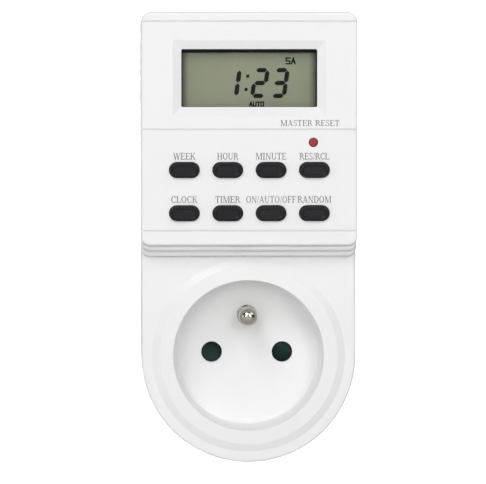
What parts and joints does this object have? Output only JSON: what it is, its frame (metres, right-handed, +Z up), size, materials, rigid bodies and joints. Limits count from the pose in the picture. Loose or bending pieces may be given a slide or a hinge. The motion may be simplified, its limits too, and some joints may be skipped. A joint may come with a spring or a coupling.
{
  "type": "plug-in digital timer socket",
  "caption": "Plug-in mains timer: white body with display, press keys and reset button above a round socket well with earth pin and shutter, plug pins at the back",
  "frame": {"origin": "centre of the plug face, on the axis shared by the plug and the socket well", "axes": "+X right as seen by someone facing the display, +Z up along the tall body, plug pins along +Y, display and keys face -Y"},
  "size_m": [0.0572, 0.0797, 0.12],
  "materials": {
    "white_shell": "fine spark texture, off-white",
    "black_key": "soft charcoal",
    "red_plastic": "moulded red",
    "clear_pane": "polished clear plastic",
    "lcd_grey": "olive grey liquid-crystal glass with a polariser",
    "black_plastic": "moulded",
    "black_rubber": "layered conductive rubber",
    "green_board": "glass-epoxy board with solder resist",
    "brown_board": "paper-phenolic board",
    "black_epoxy": "potting epoxy",
    "bright_can": "drawn steel can",
    "tin_pins": "tinned pins",
    "silicone": "translucent silicone",
    "spring_steel": "drawn wire",
    "zinc_steel": "zinc plated",
    "label_film": "blank satin film",
    "blue_case": "moulded case",
    "grey_case": "moulded case",
    "black_sleeve": "shrink sleeve",
    "resistor_body": "lacquered ceramic",
    "blue_coating": "dipped epoxy",
    "nickel": "nickel plated brass",
    "brass_strip": "rolled brass strip",
    "grey_thermoset": "moulded thermoset",
    "dark_green_plastic": "moulded dark green"
  },
  "bodies": {
    "housing": {"backup_cell": "bright_can", "board_header": "tin_pins", "board_screws": "zinc_steel", "carrier_screws": "zinc_steel", "chip_blob": "black_epoxy", "contact_carrier": "grey_thermoset", "control_board": "green_board", "cover_screws": "zinc_steel", "dome_mat": "silicone", "dropper_capacitor": "grey_case", "earth_clips": "nickel", "earth_pin": "nickel", "earth_strap": "brass_strip", "earth_tube": "brass_strip", "front_cover": "white_shell", "lcd_glass": "lcd_grey", "lcd_holder": "black_plastic", "lcd_window": "clear_pane", "live_contact": "brass_strip", "live_link": "brass_strip", "neutral_contact": "brass_strip", "neutral_link": "brass_strip", "plug_insert": "white_shell", "plug_pin_live": "nickel", "plug_pin_neutral": "nickel", "power_board": "brown_board", "quartz_crystal": "bright_can", "rating_label": "label_film", "rear_cover": "white_shell", "rectifier_diodes": "black_epoxy", "relay": "blue_case", "reset_spring": "spring_steel", "reset_switch": "black_plastic", "resistors": "resistor_body", "shutter_pivot": "zinc_steel", "shutter_spring": "spring_steel", "smoothing_capacitor": "black_sleeve", "switched_link": "brass_strip", "varistor": "blue_coating", "zebra_strips": "black_rubber"},
    "key_week_body": {"key_week": "black_key"},
    "key_hour_body": {"key_hour": "black_key"},
    "key_minute_body": {"key_minute": "black_key"},
    "key_recall_body": {"key_recall": "black_key"},
    "key_clock_body": {"key_clock": "black_key"},
    "key_timer_body": {"key_timer": "black_key"},
    "key_mode_body": {"key_mode": "black_key"},
    "key_random_body": {"key_random": "black_key"},
    "reset_body": {"reset_button": "red_plastic"},
    "shutter_body": {"shutter": "dark_green_plastic"}
  },
  "joints": [
    {"name": "press_week", "type": "slide", "parent": "housing", "child": "key_week_body", "axis": [0, 1, 0], "range_m": [0, 0.001], "stiffness_N_per_m": 900, "springref_m": -0.0005, "deforming": ["dome_mat"]},
    {"name": "press_hour", "type": "slide", "parent": "housing", "child": "key_hour_body", "axis": [0, 1, 0], "range_m": [0, 0.001], "stiffness_N_per_m": 900, "springref_m": -0.0005, "deforming": ["dome_mat"]},
    {"name": "press_minute", "type": "slide", "parent": "housing", "child": "key_minute_body", "axis": [0, 1, 0], "range_m": [0, 0.001], "stiffness_N_per_m": 900, "springref_m": -0.0005, "deforming": ["dome_mat"]},
    {"name": "press_recall", "type": "slide", "parent": "housing", "child": "key_recall_body", "axis": [0, 1, 0], "range_m": [0, 0.001], "stiffness_N_per_m": 900, "springref_m": -0.0005, "deforming": ["dome_mat"]},
    {"name": "press_clock", "type": "slide", "parent": "housing", "child": "key_clock_body", "axis": [0, 1, 0], "range_m": [0, 0.001], "stiffness_N_per_m": 900, "springref_m": -0.0005, "deforming": ["dome_mat"]},
    {"name": "press_timer", "type": "slide", "parent": "housing", "child": "key_timer_body", "axis": [0, 1, 0], "range_m": [0, 0.001], "stiffness_N_per_m": 900, "springref_m": -0.0005, "deforming": ["dome_mat"]},
    {"name": "press_mode", "type": "slide", "parent": "housing", "child": "key_mode_body", "axis": [0, 1, 0], "range_m": [0, 0.001], "stiffness_N_per_m": 900, "springref_m": -0.0005, "deforming": ["dome_mat"]},
    {"name": "press_random", "type": "slide", "parent": "housing", "child": "key_random_body", "axis": [0, 1, 0], "range_m": [0, 0.001], "stiffness_N_per_m": 900, "springref_m": -0.0005, "deforming": ["dome_mat"]},
    {"name": "press_reset", "type": "slide", "parent": "housing", "child": "reset_body", "axis": [0, 1, 0], "range_m": [0, 0.0009], "stiffness_N_per_m": 500, "springref_m": -0.0005, "deforming": ["reset_spring"]},
    {"name": "shutter_turn", "type": "hinge", "parent": "housing", "child": "shutter_body", "pos_m": [0, -0.035, 0], "axis": [0, -1, 0], "range_deg": [0, 42], "stiffness_Nm_per_rad": 0.002, "springref_deg": -5.73, "deforming": ["shutter_spring"]}
  ]
}
